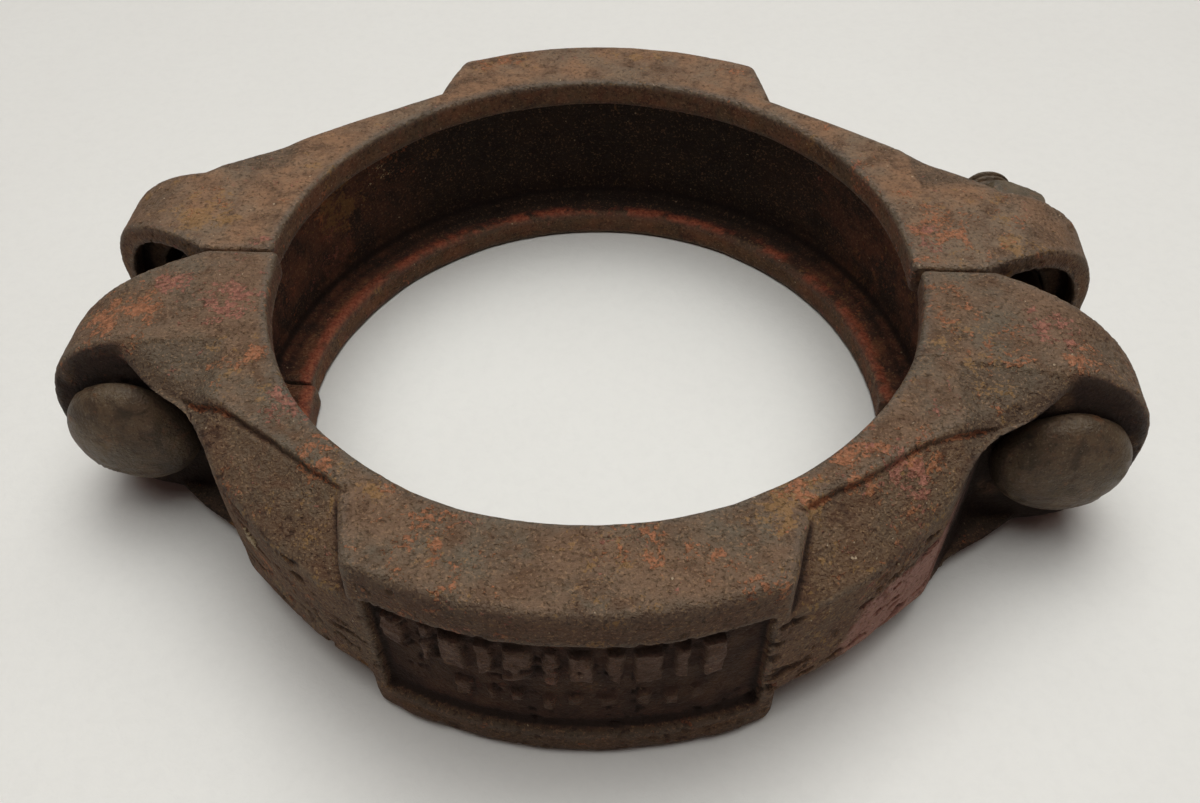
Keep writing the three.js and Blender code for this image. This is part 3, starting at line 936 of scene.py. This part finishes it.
def surroundings(colour, strength, backdrop):
    """Faint light from all round. A camera that looks past the table's edge sees the backdrop's colour."""
    world = bpy.data.worlds.new("surroundings")
    world.use_nodes = True
    nodes, links = world.node_tree.nodes, world.node_tree.links
    light = nodes["Background"]
    light.inputs["Color"].default_value = colour
    light.inputs["Strength"].default_value = strength
    seen = nodes.new("ShaderNodeBackground")
    seen.inputs["Color"].default_value = backdrop
    choice = nodes.new("ShaderNodeMixShader")
    links.new(nodes.new("ShaderNodeLightPath").outputs["Is Camera Ray"], choice.inputs[0])
    links.new(light.outputs[0], choice.inputs[1])
    links.new(seen.outputs[0], choice.inputs[2])
    links.new(choice.outputs[0], nodes["World Output"].inputs["Surface"])
    bpy.context.scene.world = world


CAMERA_AZIMUTH = math.radians(4.5)
CAMERA_HEIGHT = math.radians(47.71)
CAMERA_ROLL = math.radians(-1.34)
CAMERA_DISTANCE = 303.84
CAMERA_ASIDE = (2.78, -17.03)  # how far it is moved across and up, square to its own line of sight
CAMERA_CENTRE = np.array([-0.947, 0.443, 0.0])
SENSOR_WIDTH = 36.0
FOCAL_LENGTH = 33.03


def camera():
    """A camera that looks down on the coupling from in front of its name panel."""
    a, e, r = CAMERA_AZIMUTH, CAMERA_HEIGHT, CAMERA_ROLL
    back = np.array([math.sin(a) * math.cos(e), -math.cos(a) * math.cos(e), math.sin(e)])
    right = np.cross(-back, [0, 0, 1])
    right /= np.linalg.norm(right)
    up = np.cross(right, -back)
    across = math.cos(r) * right + math.sin(r) * up
    upward = -math.sin(r) * right + math.cos(r) * up
    spot = CAMERA_CENTRE + back * CAMERA_DISTANCE + across * CAMERA_ASIDE[0] + upward * CAMERA_ASIDE[1]
    data = bpy.data.cameras.new("camera")
    data.sensor_fit = "HORIZONTAL"
    data.sensor_width = SENSOR_WIDTH
    data.lens = FOCAL_LENGTH
    data.clip_start, data.clip_end = 0.01, 20.0
    obj = bpy.data.objects.new("camera", data)
    bpy.context.scene.collection.objects.link(obj)
    turn = Matrix([list(row) for row in np.stack([across, upward, back], axis=1)])
    obj.matrix_world = Matrix.Translation(Vector(spot * MM)) @ turn.to_4x4()
    bpy.context.scene.camera = obj


# ---------------------------------------------------------------- the scene

FRONT_IRON = cast_iron("front_cast_iron", srgb(119, 94, 73), srgb(103, 91, 75))
# The rear half gets lighter, warmer tones of the same iron: painted light, for the stronger, warmer light on
# it.
REAR_IRON = cast_iron("rear_cast_iron", srgb(142, 108, 80), srgb(123, 104, 84))
BOLT_STEEL = fastener_steel("bolt_steel", srgb(96, 79, 61), srgb(78, 65, 50), rusty=0.25)
NUT_STEEL = fastener_steel("nut_steel", srgb(110, 95, 74), srgb(92, 82, 66), rusty=0.5)

housing(
    "front_casting", "front_housing", "front_half", turn=0.0, material=FRONT_IRON,
    seed=11, tip_rounding=0.6, dressing=1.0,
)
housing(
    "rear_casting", "rear_housing", "rear_half", turn=math.pi, material=REAR_IRON,
    seed=61, tip_rounding=0.0, dressing=0.3,
)
bolt("left_track_bolt", "left_bolt", "left_bolt", seed=111)
bolt("right_track_bolt", "right_bolt", "right_bolt", seed=131)
nut("left_hex_nut", "left_nut", "left_nut", turn=math.radians(-8), seed=151)
nut("right_hex_nut", "right_nut", "right_nut", turn=math.radians(-20), seed=171)

table()
surroundings(colour=(1.0, 0.66, 0.63, 1), strength=0.075, backdrop=BACKDROP)
ceiling_panel("near_panel", place=(0.0, 0.03, 0.80), across=0.80, power=2.72, colour=(1.0, 1.0, 0.99))
soft_light("overhead", azimuth=180, elevation=87, spread=62, strength=1.13, colour=(1.0, 1.0, 0.99))
soft_light("behind", azimuth=168, elevation=60, spread=46, strength=0.90, colour=(1.0, 0.985, 0.96))
camera_contrast()
camera()
